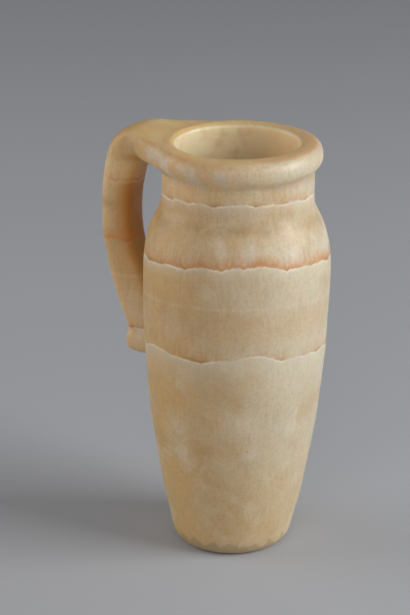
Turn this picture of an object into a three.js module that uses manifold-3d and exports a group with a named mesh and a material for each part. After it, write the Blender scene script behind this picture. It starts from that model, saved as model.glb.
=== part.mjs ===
// A carved alabaster pitcher, cut from one block of banded calcite: a tapering body under a
// broad shoulder, a short straight neck, a rolled lip and one strap handle. It is hollow.
import * as THREE from "three";
import { RoundedBoxGeometry } from "three/addons/geometries/RoundedBoxGeometry.js";
import { mergeVertices } from "three/addons/utils/BufferGeometryUtils.js";
import Module from "manifold-3d";

// Driving dimensions in millimetres. The underside of the foot lies on z = 0, the vessel's
// axis rises from the origin, and the handle is on the -X side.
const HEIGHT = 200; // foot to the crest of the lip
const LEAN = 3.1; // how far the hand-carved mouth stands off the foot's centre, away from the handle
const FOOT_FLAT_RADIUS = 23.6; // the flat that it stands on
const FOOT_RADIUS = 27.4; // where the body's sides would meet the ground
const FOOT_ROUNDING = 5.5; // height of the foot's worn edge
const BELLY_RADIUS = 44; // the widest part, just under the shoulder
const BELLY_Z = 137;
const BELLY_POWER = 2.1; // how the taper speeds up towards the foot
const SHOULDER_SWELL = 26; // how far the shoulder stays full above the belly
const NECK_RADIUS = 35.4;
const NECK_FOOT_Z = 173; // where the shoulder has turned into the neck
const NECK_FILLET = 8; // how far below that the shoulder is already turning upright
const LIP_RADIUS = 38.9; // outermost reach of the lip
const LIP_ROUNDING = 6.4; // radius of the roll under that
const LIP_FULLNESS = 4.8; // how square the roll's upper half is: it turns into the flat top this late
const RIM_FLAT_RADIUS = 33.4; // where the roll has turned into the flat top
const RIM_EDGE_RADIUS = 30.4; // the mouth's edge
const RIM_EDGE_ROUNDING = 1;
const WALL = 8.2; // thickness of the body's wall
const BORE_RADIUS = 29.4; // the neck's inside
const BORE_FOOT_Z = 175; // where the inside starts to widen
const FLOOR = 12; // thickness of the bottom
const FLOOR_ROUNDING = 9; // inside corner between floor and wall

const STRAP_SQUARENESS = 3; // power of the strap's section: 2 is an ellipse, more is squarer
const ROOT_REACH = 56; // where the strap begins to flare into the lip
// The strap from the lip, over its bend and down into the body's wall: how far its middle reaches
// from the axis, its height there, half its thickness and half its width.
const STRAP_STATIONS = [
  { reach: 36.4, z: 193.7, thick: 6.3, wide: 39 },
  { reach: 43, z: 193.9, thick: 7.2, wide: 23 },
  { reach: 51, z: 193.6, thick: 8.2, wide: 12.6 },
  { reach: 58, z: 187.8, thick: 8.9, wide: 9.8 },
  { reach: 61.1, z: 179.5, thick: 8.5, wide: 9.5 },
  { reach: 63.4, z: 166, thick: 7.9, wide: 9.5 },
  { reach: 63.5, z: 151, thick: 7.9, wide: 9.5 },
  { reach: 61.4, z: 136.5, thick: 8.2, wide: 9.5 },
  { reach: 56, z: 121.5, thick: 9, wide: 9.3 },
  { reach: 49.6, z: 105, thick: 8.8, wide: 9 },
  { reach: 46, z: 95, thick: 8, wide: 8.8 },
];
const ROLL_WIDTH = 19.6; // the small roll that ends the strap: across the strap,
const ROLL_DEPTH = 17.6; // from inside the wall outwards
const ROLL_HEIGHT = 13.2; // and up
const ROLL_ROUNDING = 4.8;
const ROLL_REACH = 48.7; // its middle, from the axis
const ROLL_Z = 93.2;

// Facets round the vessel's axis, along each stretch of its section, and on the strap and roll
const AROUND = 64;
const ALONG = {
  foot: 3, side: 10, shoulder: 8, roll: 5, lipTop: 7, rimEdge: 2, innerShoulder: 6, innerSide: 6, floor: 4,
};
const STRAP_SIDES = 20;
const STRAP_STEPS = 36;
const ROLL_STEPS = 3;
const SAME_POINT = 1e-4; // points closer than this are one

const lipCentre = { r: LIP_RADIUS - LIP_ROUNDING, z: HEIGHT - LIP_ROUNDING };

// Outside radius of the tapering body at height z
function bodyRadius(z) {
  const below = Math.max(0, BELLY_Z - z) / BELLY_Z;
  return BELLY_RADIUS - (BELLY_RADIUS - FOOT_RADIUS) * below ** BELLY_POWER;
}

// Points of the body's side between two heights, moved inwards by an offset
function bodySide(fromZ, toZ, steps, offset) {
  const points = [];
  for (let i = 0; i <= steps; i += 1) {
    const z = fromZ + ((toZ - fromZ) * i) / steps;
    points.push(new THREE.Vector2(bodyRadius(z) - offset, z));
  }
  return points;
}

// The vessel's half section, from the middle of the underside, up the outside, over the lip
// and down the inside to the middle of the floor
function vesselSection() {
  const underside = new THREE.Path();
  underside.moveTo(0, 0);
  underside.lineTo(FOOT_FLAT_RADIUS, 0);
  underside.quadraticCurveTo(FOOT_RADIUS, 0, bodyRadius(FOOT_ROUNDING), FOOT_ROUNDING);

  const shoulder = new THREE.CubicBezierCurve(
    new THREE.Vector2(BELLY_RADIUS, BELLY_Z),
    new THREE.Vector2(BELLY_RADIUS, BELLY_Z + SHOULDER_SWELL),
    new THREE.Vector2(NECK_RADIUS, NECK_FOOT_Z - NECK_FILLET),
    new THREE.Vector2(NECK_RADIUS, NECK_FOOT_Z),
  );

  // The roll starts where its circle leaves the neck, and its upper half turns into the flat top
  const underRoll = -Math.acos((NECK_RADIUS - lipCentre.r) / LIP_ROUNDING);
  const roll = new THREE.EllipseCurve(
    lipCentre.r, lipCentre.z, LIP_ROUNDING, LIP_ROUNDING, underRoll, 0,
  );
  const lipTop = new THREE.CubicBezierCurve(
    new THREE.Vector2(LIP_RADIUS, lipCentre.z),
    new THREE.Vector2(LIP_RADIUS, lipCentre.z + LIP_FULLNESS),
    new THREE.Vector2(RIM_FLAT_RADIUS + LIP_FULLNESS / 2, HEIGHT),
    new THREE.Vector2(RIM_FLAT_RADIUS, HEIGHT),
  );
  const rimEdge = new THREE.QuadraticBezierCurve(
    new THREE.Vector2(RIM_EDGE_RADIUS + RIM_EDGE_ROUNDING, HEIGHT),
    new THREE.Vector2(RIM_EDGE_RADIUS, HEIGHT),
    new THREE.Vector2(RIM_EDGE_RADIUS, HEIGHT - RIM_EDGE_ROUNDING),
  );

  const innerShoulder = new THREE.CubicBezierCurve(
    new THREE.Vector2(BORE_RADIUS, BORE_FOOT_Z),
    new THREE.Vector2(BORE_RADIUS, BORE_FOOT_Z - WALL),
    new THREE.Vector2(BELLY_RADIUS - WALL, BELLY_Z + SHOULDER_SWELL - WALL),
    new THREE.Vector2(BELLY_RADIUS - WALL, BELLY_Z),
  );

  const cornerZ = FLOOR + FLOOR_ROUNDING;
  const cornerRadius = bodyRadius(cornerZ) - WALL;
  const floorCorner = new THREE.QuadraticBezierCurve(
    new THREE.Vector2(cornerRadius, cornerZ),
    new THREE.Vector2(bodyRadius(FLOOR) - WALL, FLOOR),
    new THREE.Vector2(cornerRadius - FLOOR_ROUNDING, FLOOR),
  );

  return [
    ...underside.getPoints(ALONG.foot),
    ...bodySide(FOOT_ROUNDING, BELLY_Z, ALONG.side, 0).slice(1),
    ...shoulder.getPoints(ALONG.shoulder).slice(1),
    ...roll.getPoints(ALONG.roll),
    ...lipTop.getPoints(ALONG.lipTop).slice(1),
    ...rimEdge.getPoints(ALONG.rimEdge),
    ...innerShoulder.getPoints(ALONG.innerShoulder),
    ...bodySide(BELLY_Z, cornerZ, ALONG.innerSide, WALL).slice(1),
    ...floorCorner.getPoints(ALONG.floor).slice(1),
    new THREE.Vector2(0, FLOOR),
  ];
}

// The strap handle: a straight bar, bent along its stations and given their sections
function strapGeometry() {
  const middle = new THREE.CatmullRomCurve3(
    STRAP_STATIONS.map(({ reach, z }) => new THREE.Vector3(reach, z, 0)), false, "catmullrom",
  );
  const section = new THREE.CatmullRomCurve3(
    STRAP_STATIONS.map(({ thick, wide }) => new THREE.Vector3(thick, wide, 0)), false, "catmullrom",
  );
  const geometry = new THREE.CylinderGeometry(1, 1, 1, STRAP_SIDES, STRAP_STEPS);
  const at = geometry.attributes.position;
  for (let i = 0; i < at.count; i += 1) {
    const along = THREE.MathUtils.clamp(0.5 - at.getY(i), 0, 1);
    const out = at.getX(i);
    const across = at.getZ(i);
    const length = (Math.abs(out) ** STRAP_SQUARENESS + Math.abs(across) ** STRAP_SQUARENESS)
      ** (1 / STRAP_SQUARENESS);
    const square = length > 0 ? 1 / length : 0;
    const centre = middle.getPoint(along);
    const tangent = middle.getTangent(along);
    const size = section.getPoint(along);
    const rise = out * square * size.x;
    const reach = centre.x - tangent.y * rise;
    const aside = across * square * size.y;
    // Close to the lip the strap's width follows the lip round instead of running straight across
    const wrap = 1 - THREE.MathUtils.smoothstep(centre.x, LIP_RADIUS, ROOT_REACH);
    const round = aside / reach;
    at.setXYZ(
      i,
      -THREE.MathUtils.lerp(reach, reach * Math.cos(round), wrap),
      THREE.MathUtils.lerp(aside, reach * Math.sin(round), wrap),
      centre.y + tangent.x * rise,
    );
  }
  return geometry;
}

// The strap's terminal: a short roll across its lower end, half sunk in the body
function rollGeometry() {
  const geometry = new RoundedBoxGeometry(ROLL_DEPTH, ROLL_WIDTH, ROLL_HEIGHT, ROLL_STEPS, ROLL_ROUNDING);
  geometry.translate(-ROLL_REACH, 0, ROLL_Z);
  return geometry;
}

// Booleans: a closed geometry becomes a solid, and a solid a geometry again
const wasm = await Module();
wasm.setup();

function toSolid(geometry) {
  geometry.deleteAttribute("normal");
  geometry.deleteAttribute("uv");
  const merged = mergeVertices(geometry, SAME_POINT);
  return new wasm.Manifold(new wasm.Mesh({
    numProp: 3,
    vertProperties: new Float32Array(merged.attributes.position.array),
    triVerts: new Uint32Array(merged.index.array),
  }));
}

function toGeometry(solid) {
  const mesh = solid.getMesh();
  const geometry = new THREE.BufferGeometry();
  geometry.setAttribute("position", new THREE.BufferAttribute(mesh.vertProperties, 3));
  geometry.setIndex(new THREE.BufferAttribute(mesh.triVerts, 1));
  geometry.computeVertexNormals();
  return geometry;
}

const vessel = new THREE.LatheGeometry(vesselSection(), AROUND).rotateX(Math.PI / 2);
const body = toGeometry(
  toSolid(vessel).add(toSolid(strapGeometry())).add(toSolid(rollGeometry())),
);
body.applyMatrix4(new THREE.Matrix4().makeShear(0, 0, 0, 0, LEAN / HEIGHT, 0));

const alabaster = new THREE.MeshStandardMaterial({ color: 0xc9ae8a, roughness: 0.42, metalness: 0 });
const pitcher = new THREE.Mesh(body, alabaster);
pitcher.name = "pitcher";

const part = new THREE.Group();
part.add(pitcher);

export default part;
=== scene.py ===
import math
from functools import partial
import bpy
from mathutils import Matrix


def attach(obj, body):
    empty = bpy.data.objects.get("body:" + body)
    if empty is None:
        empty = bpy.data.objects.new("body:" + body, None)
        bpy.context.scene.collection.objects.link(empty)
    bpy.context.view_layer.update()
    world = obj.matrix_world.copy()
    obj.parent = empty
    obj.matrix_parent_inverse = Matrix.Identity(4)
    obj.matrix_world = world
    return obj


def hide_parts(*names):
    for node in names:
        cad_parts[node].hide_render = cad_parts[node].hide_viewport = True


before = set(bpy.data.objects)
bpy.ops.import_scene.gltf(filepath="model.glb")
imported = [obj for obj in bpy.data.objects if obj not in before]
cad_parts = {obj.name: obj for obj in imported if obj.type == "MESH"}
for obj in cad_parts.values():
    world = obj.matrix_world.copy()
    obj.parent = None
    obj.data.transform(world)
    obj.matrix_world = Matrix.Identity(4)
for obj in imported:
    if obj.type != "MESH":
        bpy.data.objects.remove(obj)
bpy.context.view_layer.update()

from types import SimpleNamespace

import bpy
from mathutils import Vector

# An alabaster pitcher: one block of banded calcite, hollowed, with a rolled lip and a strap handle.
# Sizes are in millimetres and are turned into metres where Blender takes them.
MM = 0.001
HEIGHT = 200.0  # foot to the crest of the lip
LEAN = 3.1  # how far the mouth stands off the foot's centre, away from the handle
FOOT_FLAT_RADIUS = 23.6
FOOT_RADIUS = 27.4  # where the sides would meet the ground
FOOT_ROUNDING = 5.5
BELLY_RADIUS = 44.0
BELLY_Z = 137.0
BELLY_POWER = 2.1
SHOULDER_SWELL = 26.0
NECK_RADIUS = 35.4
NECK_FOOT_Z = 173.0
NECK_FILLET = 8.0
LIP_RADIUS = 38.9  # outermost reach of the lip
LIP_ROUNDING = 6.4  # radius of the roll under that
LIP_FULLNESS = 4.8  # how late the roll turns into the flat top
RIM_FLAT_RADIUS = 33.4  # where it has turned into the flat top
RIM_EDGE_ROUNDING = 2.6  # of the mouth's inner edge
MOUTH_OFFSET = 0.9  # how far the bore stands off the outside's middle, towards the handle
WALL = 8.2
BORE_RADIUS = 28.8
BORE_FOOT_Z = 175.0
FLOOR = 12.0
FLOOR_ROUNDING = 9.0
RING_STEP = 3.0  # height between two rings of the turned sides
CURVE_STEPS = 8  # rings in a rounded stretch
AROUND = 144  # points in a ring

# The strap's middle line: reach from the axis, height, half thickness, half width
STRAP_STATIONS = (
    (36.4, 193.7, 6.3, 39.0),
    (43.0, 193.9, 7.2, 23.0),
    (51.0, 193.6, 8.2, 12.6),
    (58.0, 187.8, 8.9, 9.8),
    (61.1, 179.5, 8.5, 9.5),
    (63.4, 166.0, 7.9, 9.5),
    (63.5, 151.0, 7.9, 9.5),
    (61.4, 136.5, 8.2, 9.5),
    (56.0, 121.5, 9.0, 9.3),
    (49.6, 105.0, 8.8, 9.0),
    (46.0, 95.0, 8.0, 8.8),
)
STRAP_STEPS = 4  # sections from one station to the next
STRAP_SIDES = 28
STRAP_SQUARENESS = 3.8  # power of the section: 2 is an ellipse, more is squarer
ROOT_REACH = 56.0  # where the strap begins to flare into the lip
ROLL_SIZE = (17.6, 19.6, 13.2)  # the small roll that ends the strap: out, across and up
ROLL_ROUNDING = 4.8
ROLL_REACH = 48.7
ROLL_Z = 93.2

VOXEL = 1.0  # grid that the joined shapes are rebuilt on
SKIN_SMOOTHING = 6  # rounds of smoothing over the whole skin
JOIN_SMOOTHING = 40  # further rounds where the strap grows out of the vessel
CREASE_ANGLE = 40.0  # edges sharper than this, in degrees, stay crisp
# The two joins fade in or out between a pair of heights, or of reaches from the axis
HANDLE_SIDE = (15.0, 28.0)
JOIN_END = (52.0, 58.0)
UPPER_JOIN_Z = (176.0, 184.0)
UPPER_JOIN_REACH = (36.0, 40.0)
LOWER_JOIN_Z = (82.0, 88.0)
LOWER_JOIN_TOP = (118.0, 134.0)
LOWER_JOIN_REACH = (38.0, 41.0)
GRINDING_WIDTH = 22.0  # of the gentle hollows left by grinding
GRINDING_DEPTH = 0.9
# Small pits and the nick in the mouth's edge: place and radius
PITS = ((25.9, -30.8, 60.0, 0.9), (5.6, -35.4, 36.0, 0.8), (35.9, -6.2, 36.0, 0.8), (-0.4, -29.9, 200.2, 1.2))

# The stone's beds dip a little, and their growth lines are knobbly
BEDDING = (-0.0525, 0.091, 1.0)
KNOB_WIDTH = 11.0
KNOB_HEIGHT = 2.2
RAGGEDNESS = 1.9
TOOTH_HALF_WIDTH = 4.4  # of the crystals at the foot
# The block turns from honey to cream between two places on the way to its pale side, the side the key light
# falls on: the cream there is painted light, the honey on the other side painted shade
PALE_SIDE = (0.866, 0.5, 0.0)
HONEY_END = -46.0
CREAM_END = 34.0
# Where the stains of the body fade out, and where those of the strap fade in
BODY_X = (-56.0, -42.0)
STRAP_X = (-40.0, -48.0)
# The strap's colours follow its bow, from a pale outside to a brown inside: painted light on the outside,
# painted shade on the inside that faces the body
STRAP_BOW_Z = 158.0  # where the strap reaches furthest
STRAP_BOW = 0.0055  # how fast it falls back above and below that
LIT_OUTSIDE_X = -63.5
SHADED_INSIDE_X = -52.3
# Clouds and spots that stand out in the stone: place and radius
PALE_CLOUDS = (
    (-3.5, -37.7, 52.0, 8.0),
    (39.2, -13.1, 70.2, 8.0),
    (26.9, -29.3, 61.0, 6.0),
    (-6.3, -38.9, 68.0, 13.0),
    (24.0, -34.0, 74.0, 13.0),
    (-46.8, -9.0, 96.6, 2.6),
)
OCHRE_CLOUDS = (
    (6.1, -38.8, 58.0, 7.0),
    (22.2, -36.1, 83.8, 6.0),
    (45.7, 6.1, 136.0, 6.0),
    (-12.9, -41.3, 129.0, 8.0),
)
RUST_SPOTS = ((-48.9, -9.0, 100.4, 2.2),)
CLOUD_COLOURS = (
    ("efe8d8", 0.26, PALE_CLOUDS),
    ("c08d45", 0.35, OCHRE_CLOUDS),
    ("c67a36", 0.60, RUST_SPOTS),
)
# Each growth line: height in the bedding, depth of its white haze, strength of its rust, how much of
# it stayed dry, and its large domes: bearing round the vessel, height of the crest, and flatness
GROWTH_LINES = (
    (174.6, 5.0, 0.55, 0.42, ((36, 177.1, 30), (55, 176.0, 40))),
    (144.8, 6.0, 0.88, 0.22, (
        (-13, 145.8, 31), (13, 146.5, 60), (32, 147.0, 30), (46, 147.5, 60), (90, 145.4, 60),
    )),
    (101.3, 18.0, 0.60, 0.46, ((-27, 103.9, 60), (26, 102.4, 60), (43, 104.6, 40))),
)

# The stage, in metres and watts, and a camera at the photograph's angle
PAPER_SIZE = 8.0
PAPER_COLOUR = "b9bbc0"
PAPER_ROUGHNESS = 0.9
ROOM_LIGHT = 0.18
LIGHT_AIM = (0, 0, 0.1)
# Each softbox: name, place, side and power
SOFTBOXES = (
    ("key_softbox", (1.35, 0.35, 0.75), 1.0, 19),
    ("fill_softbox", (-1.35, -0.55, 0.55), 1.2, 8),
    ("front_softbox", (0.5, -1.7, 0.6), 1.4, 7),
)
CAMERA_PLACE = (0.48622, -0.84216, 0.48659)
CAMERA_TILT = 69.207  # degrees up from looking straight down
CAMERA_BEARING = 30.768  # degrees round from the front, away from the handle
SENSOR = 36
PICTURE_HEIGHT = 615  # pixels
FOCAL_LENGTH = 2200  # in the same pixels


def lean_at(z):
    return LEAN * z / HEIGHT


def smooth_step(value, low, high):
    t = min(1.0, max(0.0, (value - low) / (high - low)))
    return t * t * (3 - 2 * t)


def deselect():
    bpy.ops.object.select_all(action="DESELECT")


def make_active(piece):
    deselect()
    piece.select_set(True)
    bpy.context.view_layer.objects.active = piece


def join(pieces):
    make_active(pieces[0])
    for piece in pieces:
        piece.select_set(True)
    bpy.ops.object.join()
    return pieces[0]


def apply_modifier(piece, kind, **settings):
    """Adds a modifier to the active piece and applies it."""
    modifier = piece.modifiers.new(kind.lower(), kind)
    for name, value in settings.items():
        setattr(modifier, name, value)
    bpy.ops.object.modifier_apply(modifier=modifier.name)


def bezier(points, steps):
    """Points of a Bezier curve of any order, by repeated halfway lines."""
    made = []
    for i in range(steps + 1):
        t = i / steps
        line = [Vector(p) for p in points]
        while len(line) > 1:
            line = [a.lerp(b, t) for a, b in zip(line, line[1:])]
        made.append(tuple(line[0]))
    return made


def body_radius(z):
    below = max(0.0, BELLY_Z - z) / BELLY_Z
    return BELLY_RADIUS - (BELLY_RADIUS - FOOT_RADIUS) * below**BELLY_POWER


def body_side(from_z, to_z, inset):
    steps = round(abs(to_z - from_z) / RING_STEP)
    heights = [from_z + (to_z - from_z) * i / steps for i in range(steps + 1)]
    return [(body_radius(z) - inset, z) for z in heights]


def block_rings():
    """Radius and height of each ring of the outside, from the foot's flat to the rim's flat top."""
    foot_top = (body_radius(FOOT_ROUNDING), FOOT_ROUNDING)
    foot = bezier([(FOOT_FLAT_RADIUS, 0), (FOOT_RADIUS, 0), foot_top], CURVE_STEPS)
    shoulder = bezier([
        (BELLY_RADIUS, BELLY_Z),
        (BELLY_RADIUS, BELLY_Z + SHOULDER_SWELL),
        (NECK_RADIUS, NECK_FOOT_Z - NECK_FILLET),
        (NECK_RADIUS, NECK_FOOT_Z),
    ], 2 * CURVE_STEPS)
    roll_r = LIP_RADIUS - LIP_ROUNDING
    roll_z = HEIGHT - LIP_ROUNDING
    under_roll = -math.acos((NECK_RADIUS - roll_r) / LIP_ROUNDING)
    turns = [under_roll * (1 - i / CURVE_STEPS) for i in range(CURVE_STEPS + 1)]
    roll = [(roll_r + LIP_ROUNDING * math.cos(a), roll_z + LIP_ROUNDING * math.sin(a)) for a in turns]
    lip_top = bezier([
        (LIP_RADIUS, roll_z),
        (LIP_RADIUS, roll_z + LIP_FULLNESS),
        (RIM_FLAT_RADIUS + LIP_FULLNESS / 2, HEIGHT),
        (RIM_FLAT_RADIUS, HEIGHT),
    ], CURVE_STEPS)
    return [*foot, *body_side(FOOT_ROUNDING, BELLY_Z, 0)[1:], *shoulder[1:], *roll, *lip_top[1:]]


def bore_rings():
    """Radius and height of each ring of the hollow, from its floor to just above the mouth's edge."""
    corner_z = FLOOR + FLOOR_ROUNDING
    corner_r = body_radius(corner_z) - WALL
    floor_edge = (corner_r - FLOOR_ROUNDING, FLOOR)
    floor_corner = bezier([floor_edge, (body_radius(FLOOR) - WALL, FLOOR), (corner_r, corner_z)], CURVE_STEPS)
    belly = BELLY_RADIUS - WALL
    shoulder = bezier([
        (belly, BELLY_Z),
        (belly, BELLY_Z + SHOULDER_SWELL - WALL),
        (BORE_RADIUS, BORE_FOOT_Z - WALL),
        (BORE_RADIUS, BORE_FOOT_Z),
    ], 2 * CURVE_STEPS)
    # The mouth's edge is eased: the cut turns outwards just before it leaves the flat top
    edge = bezier([
        (BORE_RADIUS, HEIGHT - RIM_EDGE_ROUNDING),
        (BORE_RADIUS, HEIGHT - RIM_EDGE_ROUNDING / 3),
        (BORE_RADIUS + RIM_EDGE_ROUNDING, HEIGHT + RIM_EDGE_ROUNDING / 6),
    ], CURVE_STEPS)
    return [*floor_corner, *body_side(corner_z, BELLY_Z, WALL)[1:], *shoulder[1:], *edge]


def turn_solid(rings, offset):
    """A turned solid: a disc, pulled up ring by ring along the leaning axis."""
    deselect()
    last_r, last_z = rings[0]
    foot = Vector((lean_at(last_z) + offset, 0, last_z)) * MM
    bpy.ops.mesh.primitive_circle_add(vertices=AROUND, radius=last_r * MM, fill_type="NGON", location=foot)
    solid = bpy.context.object
    bpy.ops.object.transform_apply(location=True, rotation=True, scale=True)
    bpy.ops.object.mode_set(mode="EDIT")
    bpy.ops.mesh.select_all(action="SELECT")
    for r, z in rings[1:]:
        rise = Vector((lean_at(z - last_z), 0, z - last_z)) * MM
        bpy.ops.mesh.extrude_region_move(TRANSFORM_OT_translate={"value": rise})
        middle = Vector((lean_at(z) + offset, 0, z)) * MM
        bpy.ops.transform.resize(value=(r / last_r, r / last_r, 1), center_override=middle)
        last_r, last_z = r, z
    bpy.ops.mesh.select_all(action="SELECT")
    bpy.ops.mesh.normals_make_consistent(inside=False)
    bpy.ops.object.mode_set(mode="OBJECT")
    return solid


def strap_sections():
    """Sections along the strap, by a smooth curve through its stations: reach, height, half sizes."""
    ends = [STRAP_STATIONS[0], *STRAP_STATIONS, STRAP_STATIONS[-1]]
    sections = []
    for span in zip(ends, ends[1:], ends[2:], ends[3:]):
        for i in range(STRAP_STEPS):
            t = i / STRAP_STEPS
            pull = (
                (-t + 2 * t**2 - t**3) / 2,
                (2 - 5 * t**2 + 3 * t**3) / 2,
                (t + 4 * t**2 - 3 * t**3) / 2,
                (t**3 - t**2) / 2,
            )
            sections.append([sum(w * p[k] for w, p in zip(pull, span)) for k in range(4)])
    return sections + [list(STRAP_STATIONS[-1])]


def make_strap():
    """The strap: a squared disc at the lip, pulled out section by section, over the bend and down."""
    deselect()
    bpy.ops.mesh.primitive_circle_add(vertices=STRAP_SIDES, radius=1, fill_type="NGON")
    strap = bpy.context.object
    for point in strap.data.vertices:
        spread = abs(point.co.x) ** STRAP_SQUARENESS + abs(point.co.y) ** STRAP_SQUARENESS
        point.co /= spread ** (1 / STRAP_SQUARENESS)
    bpy.ops.object.mode_set(mode="EDIT")
    bpy.ops.mesh.select_all(action="SELECT")
    sections = strap_sections()
    last_middle, last_turn, last_thick, last_wide = Vector((0, 0, 0)), 0.0, 1.0, 1.0
    for i, (reach, z, thick, wide) in enumerate(sections):
        before = sections[max(0, i - 1)]
        after = sections[min(len(sections) - 1, i + 1)]
        turn = math.pi / 2 - math.atan2(after[1] - before[1], after[0] - before[0])
        middle = Vector((lean_at(z) - reach, 0, z)) * MM
        step = {"value": middle - last_middle}
        if i:
            bpy.ops.mesh.extrude_region_move(TRANSFORM_OT_translate=step)
        else:
            bpy.ops.transform.translate(**step)
        size = (thick * MM / last_thick, wide * MM / last_wide, 1)
        bpy.ops.transform.rotate(value=-last_turn, orient_axis="Y", center_override=middle)
        bpy.ops.transform.resize(value=size, center_override=middle)
        bpy.ops.transform.rotate(value=turn, orient_axis="Y", center_override=middle)
        last_middle, last_turn, last_thick, last_wide = middle, turn, thick * MM, wide * MM
    bpy.ops.mesh.select_all(action="SELECT")
    bpy.ops.mesh.normals_make_consistent(inside=False)
    bpy.ops.object.mode_set(mode="OBJECT")
    # Near the lip the strap's width follows the lip round instead of running straight across
    for point in strap.data.vertices:
        z = point.co.z / MM
        reach = lean_at(z) - point.co.x / MM
        if z > NECK_FOOT_Z:
            wrap = 1 - smooth_step(reach, LIP_RADIUS, ROOT_REACH)
            aside = point.co.y / MM
            around = aside / reach
            point.co.x = (lean_at(z) - reach + wrap * reach * (1 - math.cos(around))) * MM
            point.co.y = (aside + wrap * (reach * math.sin(around) - aside)) * MM
    return strap


def make_roll():
    """The strap's terminal: a short rounded roll across its lower end, half sunk in the body."""
    deselect()
    place = Vector((lean_at(ROLL_Z) - ROLL_REACH, 0, ROLL_Z)) * MM
    bpy.ops.mesh.primitive_cube_add(size=1, location=place, scale=[side * MM for side in ROLL_SIZE])
    roll = bpy.context.object
    bpy.ops.object.transform_apply(location=True, rotation=True, scale=True)
    bpy.ops.object.mode_set(mode="EDIT")
    bpy.ops.mesh.select_all(action="SELECT")
    bpy.ops.mesh.bevel(offset=ROLL_ROUNDING * MM, segments=5)
    bpy.ops.object.mode_set(mode="OBJECT")
    return roll


def join_weight(point):
    """How much a point lies in one of the two places where the strap grows out of the vessel."""
    x, y, z = point.co / MM
    reach = math.hypot(x - lean_at(z), y)
    upper = smooth_step(z, *UPPER_JOIN_Z) * smooth_step(reach, *UPPER_JOIN_REACH)
    lower = smooth_step(z, *LOWER_JOIN_Z) * (1 - smooth_step(z, *LOWER_JOIN_TOP))
    lower *= smooth_step(reach, *LOWER_JOIN_REACH)
    return smooth_step(-x, *HANDLE_SIDE) * max(upper, lower) * (1 - smooth_step(reach, *JOIN_END))


def weigh(piece, name, weight):
    """A vertex group whose weights come from where each point lies."""
    group = piece.vertex_groups.new(name=name)
    for point in piece.data.vertices:
        group.add([point.index], weight(point), "REPLACE")


def make_pit(x, y, z, radius):
    """A small ball that leaves a pit where it is cut out of the surface."""
    deselect()
    bpy.ops.mesh.primitive_ico_sphere_add(subdivisions=3, radius=radius * MM, location=Vector((x, y, z)) * MM)
    pit = bpy.context.object
    bpy.ops.object.transform_apply(location=True, rotation=True, scale=True)
    return pit


def make_pitcher():
    """Block, strap and roll worked into one skin with soft joins, then hollowed from the top."""
    pitcher = join([turn_solid(block_rings(), 0), make_strap(), make_roll()])
    pitcher.name = "pitcher_stone"
    apply_modifier(pitcher, "REMESH", mode="VOXEL", voxel_size=VOXEL * MM)
    apply_modifier(pitcher, "SMOOTH", factor=0.5, iterations=SKIN_SMOOTHING)
    weigh(pitcher, "joins", join_weight)
    apply_modifier(pitcher, "SMOOTH", factor=0.5, iterations=JOIN_SMOOTHING, vertex_group="joins")
    # Ground by hand, so no face but the foot's flat is quite true
    weigh(pitcher, "sides", lambda point: smooth_step(point.co.z / MM, 0.5, 2 * FOOT_ROUNDING))
    hand = bpy.data.textures.new("hand_grinding", "CLOUDS")
    hand.noise_scale = GRINDING_WIDTH * MM
    apply_modifier(
        pitcher,
        "DISPLACE",
        texture=hand,
        texture_coords="LOCAL",
        strength=GRINDING_DEPTH * MM,
        vertex_group="sides",
    )
    pitcher.vertex_groups.clear()
    bore = turn_solid(bore_rings(), -MOUTH_OFFSET)
    pits = join([make_pit(*pit) for pit in PITS])
    make_active(pitcher)
    for cut in (bore, pits):
        apply_modifier(pitcher, "BOOLEAN", operation="DIFFERENCE", solver="EXACT", object=cut)
        bpy.data.objects.remove(cut)
    bpy.ops.object.shade_smooth_by_angle(angle=math.radians(CREASE_ANGLE))
    return pitcher


def linear(code):
    """A colour of the finish, written as an sRGB hex value, as Blender's linear numbers."""
    parts = [int(code[i:i + 2], 16) / 255 for i in (0, 2, 4)]
    return (*[p / 12.92 if p <= 0.04045 else ((p + 0.055) / 1.055) ** 2.4 for p in parts], 1.0)


def add(tree, kind, links=(), stops=(), output=0, **settings):
    """Adds one node with its settings, its inputs as values or links, and gives back an output."""
    node = tree.nodes.new("ShaderNode" + kind)
    for name, value in settings.items():
        setattr(node, name, value)
    for socket, value in dict(links).items():
        if isinstance(value, bpy.types.NodeSocket):
            tree.links.new(value, node.inputs[socket])
        else:
            node.inputs[socket].default_value = value
    for i, (place, colour) in enumerate(stops):
        ramp = node.color_ramp.elements
        stop = ramp[i] if i < 2 else ramp.new(place)
        stop.position = place
        stop.color = colour
    return node if output is None else node.outputs[output]


def seam(stone, height, low, high, edge):
    """1 between two heights in the stone and 0 outside, fading over an edge."""
    soft = {"interpolation_type": "SMOOTHSTEP"}
    rise = stone("MapRange", {0: height, 1: low - edge, 2: low + edge}, **soft)
    fall = stone("MapRange", {0: height, 1: high - edge, 2: high + edge, 3: 1.0, 4: 0.0}, **soft)
    return stone("Math", {0: rise, 1: fall}, operation="MULTIPLY")


def clouds(stone, where, size, low, high, detail=2.0):
    """Cloudy patches of about a size in mm: 0 where the cloud is thinner than low, 1 above high."""
    cloud = stone("TexNoise", {"Vector": where, "Scale": 1 / size, "Detail": detail, "Roughness": 0.55})
    return stone("MapRange", {0: cloud, 1: low, 2: high}, interpolation_type="SMOOTHSTEP")


def stain(stone, under, code, strength, *masks):
    """Lays a colour over another one, as far as all the masks let it through."""
    cover = strength
    for mask in masks:
        cover = stone("Math", {0: mask, 1: cover}, operation="MULTIPLY")
    return stone("Mix", {0: cover, 6: under, 7: linear(code)}, data_type="RGBA", output=2)


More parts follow.
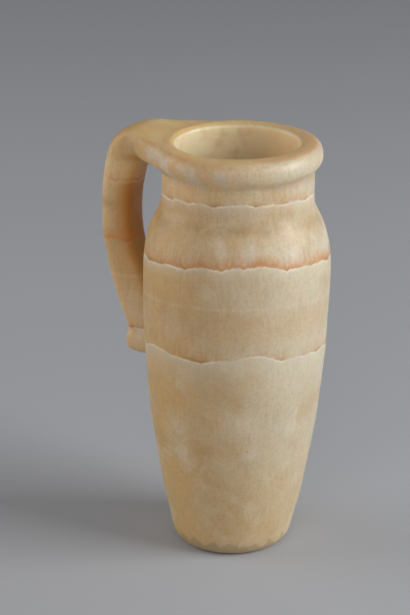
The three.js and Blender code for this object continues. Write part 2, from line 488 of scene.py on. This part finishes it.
def growth_line(stone, at, level, domes):
    """Height over a growth line, and how deep in a crease. The line is knobbly: low domes that meet
    in creases pointing down, with a finely ragged edge."""
    seed = stone("VectorMath", {0: at.flat, 1: (level, 0, 0)}, operation="ADD")
    knob = stone("TexVoronoi", {"Vector": seed, "Scale": 1 / KNOB_WIDTH}, voronoi_dimensions="2D")
    drop = stone("Math", {0: knob, 1: knob}, operation="MULTIPLY")
    top = stone("Math", {0: drop, 1: -KNOB_HEIGHT, 2: level + KNOB_HEIGHT / 4}, operation="MULTIPLY_ADD")
    for turn, crest, spread in domes:
        bearing = math.radians(turn)
        middle = (BELLY_RADIUS * math.sin(bearing), -BELLY_RADIUS * math.cos(bearing), 0)
        gap = stone("VectorMath", {0: at.flat, 1: middle}, operation="DISTANCE", output=1)
        drop = stone("Math", {0: gap, 1: gap}, operation="MULTIPLY")
        dome = stone("Math", {0: drop, 1: -1 / spread, 2: crest}, operation="MULTIPLY_ADD")
        top = stone("Math", {0: top, 1: dome, 2: 0.5}, operation="SMOOTH_MAX")
    crease = stone("MapRange", {0: top, 1: level + 0.6, 2: level - 0.7}, interpolation_type="SMOOTHSTEP")
    ragged = stone("TexNoise", {"Vector": seed, "Scale": 1 / 2.0, "Detail": 3.0})
    top = stone("Math", {0: ragged, 1: RAGGEDNESS, 2: top}, operation="MULTIPLY_ADD")
    return stone("Math", {0: at.bed, 1: top}, operation="SUBTRACT"), crease


def profile(stone, height, stops):
    """A strength that changes with height over a growth line, given as pairs of height and strength."""
    low, high = stops[0][0], stops[-1][0]
    share = stone("MapRange", {0: height, 1: low, 2: high})
    greys = [((z - low) / (high - low), (s, s, s, 1)) for z, s in stops]
    return stone("ValToRGB", {0: share}, stops=greys)


def stone_places(stone):
    """Where a point lies in the stone, in millimetres, and the masks that several finishes share."""
    soft = {"interpolation_type": "SMOOTHSTEP"}
    at = SimpleNamespace()
    place = stone("TexCoord", output="Object")
    at.mm = stone("VectorMath", {0: place, "Scale": 1 / MM}, operation="SCALE")
    at.flat = stone("VectorMath", {0: at.mm, 1: (1, 1, 0)}, operation="MULTIPLY")
    at.x = stone("VectorMath", {0: at.mm, 1: (1, 0, 0)}, operation="DOT_PRODUCT", output=1)
    at.y = stone("VectorMath", {0: at.mm, 1: (0, 1, 0)}, operation="DOT_PRODUCT", output=1)
    at.height = stone("VectorMath", {0: at.mm, 1: (0, 0, 1)}, operation="DOT_PRODUCT", output=1)
    at.bed = stone("VectorMath", {0: at.mm, 1: BEDDING}, operation="DOT_PRODUCT", output=1)
    # Two ways to stir the place, so that no cloud or edge runs straight
    swirl = stone("TexNoise", {"Vector": at.mm, "Scale": 1 / 16, "Detail": 2.0}, output=1)
    swirl = stone("VectorMath", {0: swirl, 1: (0.5, 0.5, 0.5)}, operation="SUBTRACT")
    at.drift = stone("VectorMath", {0: swirl, 1: (14, 14, 14), 2: at.mm}, operation="MULTIPLY_ADD")
    at.sway = stone("VectorMath", {0: swirl, 1: (3, 3, 3), 2: at.mm}, operation="MULTIPLY_ADD")
    at.across = stone("VectorMath", {0: at.drift, 1: PALE_SIDE}, operation="DOT_PRODUCT", output=1)
    at.pale = stone("MapRange", {0: at.across, 1: HONEY_END, 2: CREAM_END}, **soft)
    at.honey = stone("Math", {0: 1.0, 1: at.pale}, operation="SUBTRACT")
    at.body = stone("MapRange", {0: at.x, 1: BODY_X[0], 2: BODY_X[1]}, **soft)
    at.strap = stone("MapRange", {0: at.x, 1: STRAP_X[0], 2: STRAP_X[1]}, **soft)
    at.blotch = clouds(stone, at.drift, 8, 0.30, 0.62, 3.0)
    upright = stone("VectorMath", {0: at.sway, 1: (1, 1, 0.14)}, operation="MULTIPLY")
    at.column = clouds(stone, upright, 1.7, 0.36, 0.66, 3.0)
    return at


def lay_block(stone, at):
    """The block goes from honey, on the handle's side, to cream, with wide soft clouds. The turn from honey
    to cream is painted shade and painted light: cream where the key light falls, honey on the shaded side.
    """
    ends = {6: linear("d8b071"), 7: linear("d7ccb2")}
    # Painted light and shade: cream on the side turned to the key light, honey on the shaded side
    colour = stone("Mix", {0: at.pale, **ends}, data_type="RGBA", output=2)
    colour = stain(stone, colour, "c8a266", 0.40, clouds(stone, at.drift, 30, 0.48, 0.68))
    return stain(stone, colour, "e4d7be", 0.35, clouds(stone, at.drift, 21, 0.52, 0.70, 3.0))


def lay_strap(stone, at, colour):
    """The strap's outside is made paler as painted light, and its inside, facing the body, a dark ochre as
    painted shade.
    """
    climb = stone("Math", {0: at.height, 1: STRAP_BOW_Z}, operation="SUBTRACT")
    climb = stone("Math", {0: climb, 1: climb}, operation="MULTIPLY")
    inward = stone("Math", {0: climb, 1: -STRAP_BOW, 2: at.x}, operation="MULTIPLY_ADD")
    shaded_inside = stone("MapRange", {0: inward, 1: LIT_OUTSIDE_X, 2: SHADED_INSIDE_X}, interpolation_type="SMOOTHSTEP")
    lit_outside = stone("Math", {0: 1.0, 1: shaded_inside}, operation="SUBTRACT")
    grip = seam(stone, at.height, 80.0, 188.0, 5.0)
    bend = seam(stone, at.height, 194.0, 210.0, 5.0)
    lower_half = seam(stone, at.height, 122.0, 150.0, 8.0)
    upper_half = seam(stone, at.height, 138.0, 187.0, 9.0)
    # Painted light: the strap's outside, where the light reaches it, made paler
    colour = stain(stone, colour, "ddc79f", 0.50, lit_outside, at.strap, grip)
    colour = stain(stone, colour, "c69a58", 0.45, at.strap, bend)
    colour = stain(stone, colour, "bd8a42", 0.28, at.strap, lower_half)
    # Painted shade: the strap's inside, facing the body, made a dark ochre
    return stain(stone, colour, "c08022", 0.85, shaded_inside, at.strap, upper_half)


def lay_beds(stone, at, colour):
    """Beds without a sharp edge. Under the lip the tan bed is partly painted shade, and the neck below it is
    lightened with painted light on the honey side.
    """
    colour = stain(stone, colour, "b08c52", 0.50, seam(stone, at.bed, 162.0, 166.0, 3.0), at.blotch)
    # Partly the stone's tan bed, partly painted shade under the lip's roll
    colour = stain(stone, colour, "cfa05c", 0.30, seam(stone, at.bed, 182.0, 187.0, 2.5), at.blotch)
    # Painted light on the neck under the lip, on the honey side
    colour = stain(stone, colour, "ecd09a", 0.60, seam(stone, at.bed, 175.0, 186.0, 2.0), at.honey)
    colour = stain(stone, colour, "d6b488", 0.35, seam(stone, at.bed, 112.0, 127.0, 4.0))
    return stain(stone, colour, "eadfc8", 0.35, seam(stone, at.bed, 127.4, 128.8, 1.0), at.blotch)


def lay_crystals(stone, at, colour):
    """Crystal columns stand on the growth lines and fan out into grey feathers, which on the pale side of the
    shoulder are laid strong enough to be partly a painted highlight. The lip is mottled.
    """
    fan = stone("VectorMath", {0: at.sway, 1: (1, 1, 0.5)}, operation="MULTIPLY")
    feather = clouds(stone, fan, 9.0, 0.46, 0.70, 6.0)
    mottling = clouds(stone, at.sway, 6.0, 0.42, 0.62, 6.0)
    low_bed = seam(stone, at.bed, 104.0, 122.0, 5.0)
    high_bed = seam(stone, at.bed, 147.0, 160.0, 3.0)
    lip = seam(stone, at.height, 187.0, 196.5, 1.5)
    colour = stain(stone, colour, "a08054", 0.16, at.column, at.blotch)
    # Partly the stone's grey feathers, partly a painted highlight on the shoulder's pale side
    colour = stain(stone, colour, "e6e1d6", 0.60, feather, high_bed, at.pale)
    colour = stain(stone, colour, "e0d2b8", 0.28, feather, low_bed)
    return stain(stone, colour, "d2ccb8", 0.60, mottling, lip, at.body)


def lay_clouds(stone, at, colour):
    """The lower body is cloudy, a few clouds and spots stand out, and fine specks lie all over."""
    lower = seam(stone, at.height, 4.0, 84.0, 9.0)
    ochre = clouds(stone, at.sway, 11, 0.54, 0.72, 5.0)
    milk = clouds(stone, at.sway, 14, 0.52, 0.70, 5.0)
    speck = clouds(stone, at.mm, 1.3, 0.42, 0.70, 2.0)
    colour = stain(stone, colour, "d2ad6a", 0.34, seam(stone, at.height, -20.0, 50.0, 25.0))
    colour = stain(stone, colour, "c69a55", 0.22, ochre, lower)
    colour = stain(stone, colour, "b9a98b", 0.35, seam(stone, at.height, -9.0, 6.0, 5.0))
    colour = stain(stone, colour, "eee6d4", 0.26, milk, lower)
    for code, strength, places in CLOUD_COLOURS:
        for *middle, size in places:
            gap = stone("VectorMath", {0: at.drift, 1: middle}, operation="DISTANCE", output=1)
            cloud = seam(stone, gap, -2 * size, 0.6 * size, 0.6 * size)
            colour = stain(stone, colour, code, strength, cloud)
    return stain(stone, colour, "94713f", 0.14, speck)


def lay_growth_lines(stone, at, colour):
    """Growth lines: a thin white line with haze under it, rust over it where water got in."""
    broken = clouds(stone, at.mm, 5, 0.34, 0.62, 3.0)
    creep = stone("Math", {0: at.column, 1: -1.6}, operation="MULTIPLY")
    for level, haze, rust, dry, domes in GROWTH_LINES:
        over, crease = growth_line(stone, at, level, domes)
        veil = profile(stone, over, ((-haze, 0), (-haze / 3, 0.4), (-0.6, 0.75), (-0.1, 0.6), (0.3, 0)))
        line = profile(stone, over, ((-1.2, 0), (-0.7, 0.8), (-0.2, 0.9), (0.2, 0)))
        colour = stain(stone, colour, "e5decb", 0.62, veil, at.body)
        colour = stain(stone, colour, "f2ece0", 0.55, line, broken, at.body)
        fuzzy = stone("Math", {0: over, 1: creep}, operation="ADD")
        red = profile(stone, fuzzy, ((-2.0, 0), (-0.6, 0.9), (0.6, 0.8), (2.2, 0.4), (5.5, 0)))
        edge = stone("MapRange", {0: over, 1: -0.2, 2: 0.25})
        wet = clouds(stone, at.mm, 13, dry, dry + 0.25, 3.0)
        wet = stone("Math", {0: wet, 1: crease}, operation="MAXIMUM")
        seep = profile(stone, over, ((-0.3, 0), (0.2, 1), (2.0, 0)))
        colour = stain(stone, colour, "cf8f4c", rust, red, wet, edge)
        colour = stain(stone, colour, "ac6a28", 0.7 * rust, seep, crease)
    return colour


def lay_foot_crystals(stone, at, colour):
    """Dog-tooth crystals at the foot."""
    bearing = stone("Math", {0: at.y, 1: at.x}, operation="ARCTAN2")
    along = stone("Math", {0: bearing, 1: FOOT_RADIUS}, operation="MULTIPLY")
    ragged = stone("TexNoise", {"Vector": at.mm, "Scale": 1 / 7, "Detail": 3.0})
    along = stone("Math", {0: ragged, 1: 12.0, 2: along}, operation="MULTIPLY_ADD")
    tooth = stone("Math", {0: along, 1: TOOTH_HALF_WIDTH}, operation="PINGPONG")
    tooth = stone("Math", {0: ragged, 1: 9.0, 2: tooth}, operation="MULTIPLY_ADD")
    under = stone("Math", {0: tooth, 1: at.height}, operation="SUBTRACT")
    teeth = stone("MapRange", {0: under, 1: 0.2, 2: 1.6})
    return stain(stone, colour, "8a6f4a", 0.36, teeth)


def lay_mouth(stone, at, colour):
    """The rim's flat top is darker ochre on the pale side and lightened with painted light on the honey side.
    The hollow is made pale cream as painted light falling into the mouth, with a warm painted glow on its
    pale side.
    """
    rim = seam(stone, at.height, HEIGHT - 0.7, HEIGHT + 5.0, 0.5)
    colour = stain(stone, colour, "d2a252", 0.55, rim, at.pale)
    # Painted light on the honey side of the rim's top
    colour = stain(stone, colour, "f0d598", 0.55, rim, at.honey, at.body)
    middle = (lean_at(HEIGHT) - MOUTH_OFFSET, 0, 0)
    reach = stone("VectorMath", {0: at.flat, 1: middle}, operation="DISTANCE", output=1)
    inside = seam(stone, reach, -10.0, BORE_RADIUS + 0.6, 0.5)
    hollow = seam(stone, at.height, 40.0, HEIGHT - 1.0, 1.0)
    mottling = clouds(stone, at.sway, 8, 0.46, 0.70, 4.0)
    far_side = stone("MapRange", {0: at.across, 1: 4.0, 2: 26.0}, interpolation_type="SMOOTHSTEP")
    # Painted light: the whole hollow made pale cream
    colour = stain(stone, colour, "f0e3bf", 0.85, inside, hollow)
    colour = stain(stone, colour, "c4a168", 0.30, inside, hollow, mottling)
    # A painted glow: the inside of the pale wall made warm, as if light shone through the stone
    return stain(stone, colour, "fde0ae", 0.70, inside, hollow, far_side)


def make_alabaster():
    """Banded calcite alabaster: honey and cream stone with white and rust growth lines, ground to shape,
    polished dull and worn. Light sinks into it and comes out warm. Part of its colour is painted light and
    shade: the cream and honey sides, the strap's two sides, the neck under the lip, the shoulder's highlight
    and the mouth."""
    material = bpy.data.materials.new("calcite_alabaster")
    material.use_nodes = True
    tree = material.node_tree
    tree.nodes.clear()
    stone = partial(add, tree)
    at = stone_places(stone)
    colour = lay_block(stone, at)
    colour = lay_strap(stone, at, colour)
    colour = lay_beds(stone, at, colour)
    colour = lay_crystals(stone, at, colour)
    colour = lay_clouds(stone, at, colour)
    colour = lay_growth_lines(stone, at, colour)
    colour = lay_foot_crystals(stone, at, colour)
    colour = lay_mouth(stone, at, colour)
    grain = stone("TexNoise", {"Vector": at.mm, "Scale": 1 / 0.8, "Detail": 3.0})
    bump = stone("Bump", {"Strength": 0.25, "Distance": 0.15 * MM, "Height": grain})
    dull = clouds(stone, at.drift, 9, 0.35, 0.70, 3.0)
    roughness = stone("MapRange", {0: dull, 3: 0.38, 4: 0.56})
    shader = stone("BsdfPrincipled", {
        "Base Color": colour,
        "Roughness": roughness,
        "IOR": 1.6,
        "Normal": bump,
        "Subsurface Weight": 1.0,
        "Subsurface Radius": (1.0, 0.5, 0.2),
        "Subsurface Scale": 12 * MM,
    })
    stone("OutputMaterial", {"Surface": shader}, output=None)
    return material


def make_paper_finish():
    """Seamless background paper, dyed through, with a matt face."""
    material = bpy.data.materials.new("seamless_paper")
    material.use_nodes = True
    shader = material.node_tree.nodes["Principled BSDF"]
    shader.inputs["Base Color"].default_value = linear(PAPER_COLOUR)
    shader.inputs["Roughness"].default_value = PAPER_ROUGHNESS
    return material


def make_paper():
    """The floor: paper rolled out flat."""
    deselect()
    bpy.ops.mesh.primitive_plane_add(size=PAPER_SIZE)
    paper = bpy.context.object
    paper.name = "studio_paper"
    paper.data.materials.append(make_paper_finish())
    return paper


def make_softbox(name, place, size, power):
    """A square soft light, turned to the vessel."""
    lamp = bpy.data.lights.new(name, "AREA")
    lamp.shape = "SQUARE"
    lamp.size = size
    lamp.energy = power
    box = bpy.data.objects.new(name, lamp)
    bpy.context.scene.collection.objects.link(box)
    box.location = place
    box.rotation_euler = (Vector(LIGHT_AIM) - Vector(place)).to_track_quat("-Z", "Y").to_euler()


def make_room_light():
    """Even white light from all round."""
    world = bpy.data.worlds.new("studio")
    bpy.context.scene.world = world
    world.use_nodes = True
    sky = world.node_tree.nodes["Background"]
    sky.inputs["Color"].default_value = (1, 1, 1, 1)
    sky.inputs["Strength"].default_value = ROOM_LIGHT


def make_camera():
    """A camera at the photograph's angle."""
    camera = bpy.data.objects.new("camera", bpy.data.cameras.new("camera"))
    bpy.context.scene.collection.objects.link(camera)
    camera.location = CAMERA_PLACE
    camera.rotation_euler = (math.radians(CAMERA_TILT), 0, math.radians(CAMERA_BEARING))
    camera.data.sensor_width = SENSOR
    camera.data.lens = SENSOR * FOCAL_LENGTH / PICTURE_HEIGHT
    return camera


pitcher = make_pitcher()
pitcher.data.materials.clear()
pitcher.data.materials.append(make_alabaster())
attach(pitcher, "root")
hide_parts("pitcher")

paper = make_paper()
make_room_light()
for softbox in SOFTBOXES:
    make_softbox(*softbox)
bpy.context.scene.camera = make_camera()
bpy.context.scene.view_settings.view_transform = "Standard"
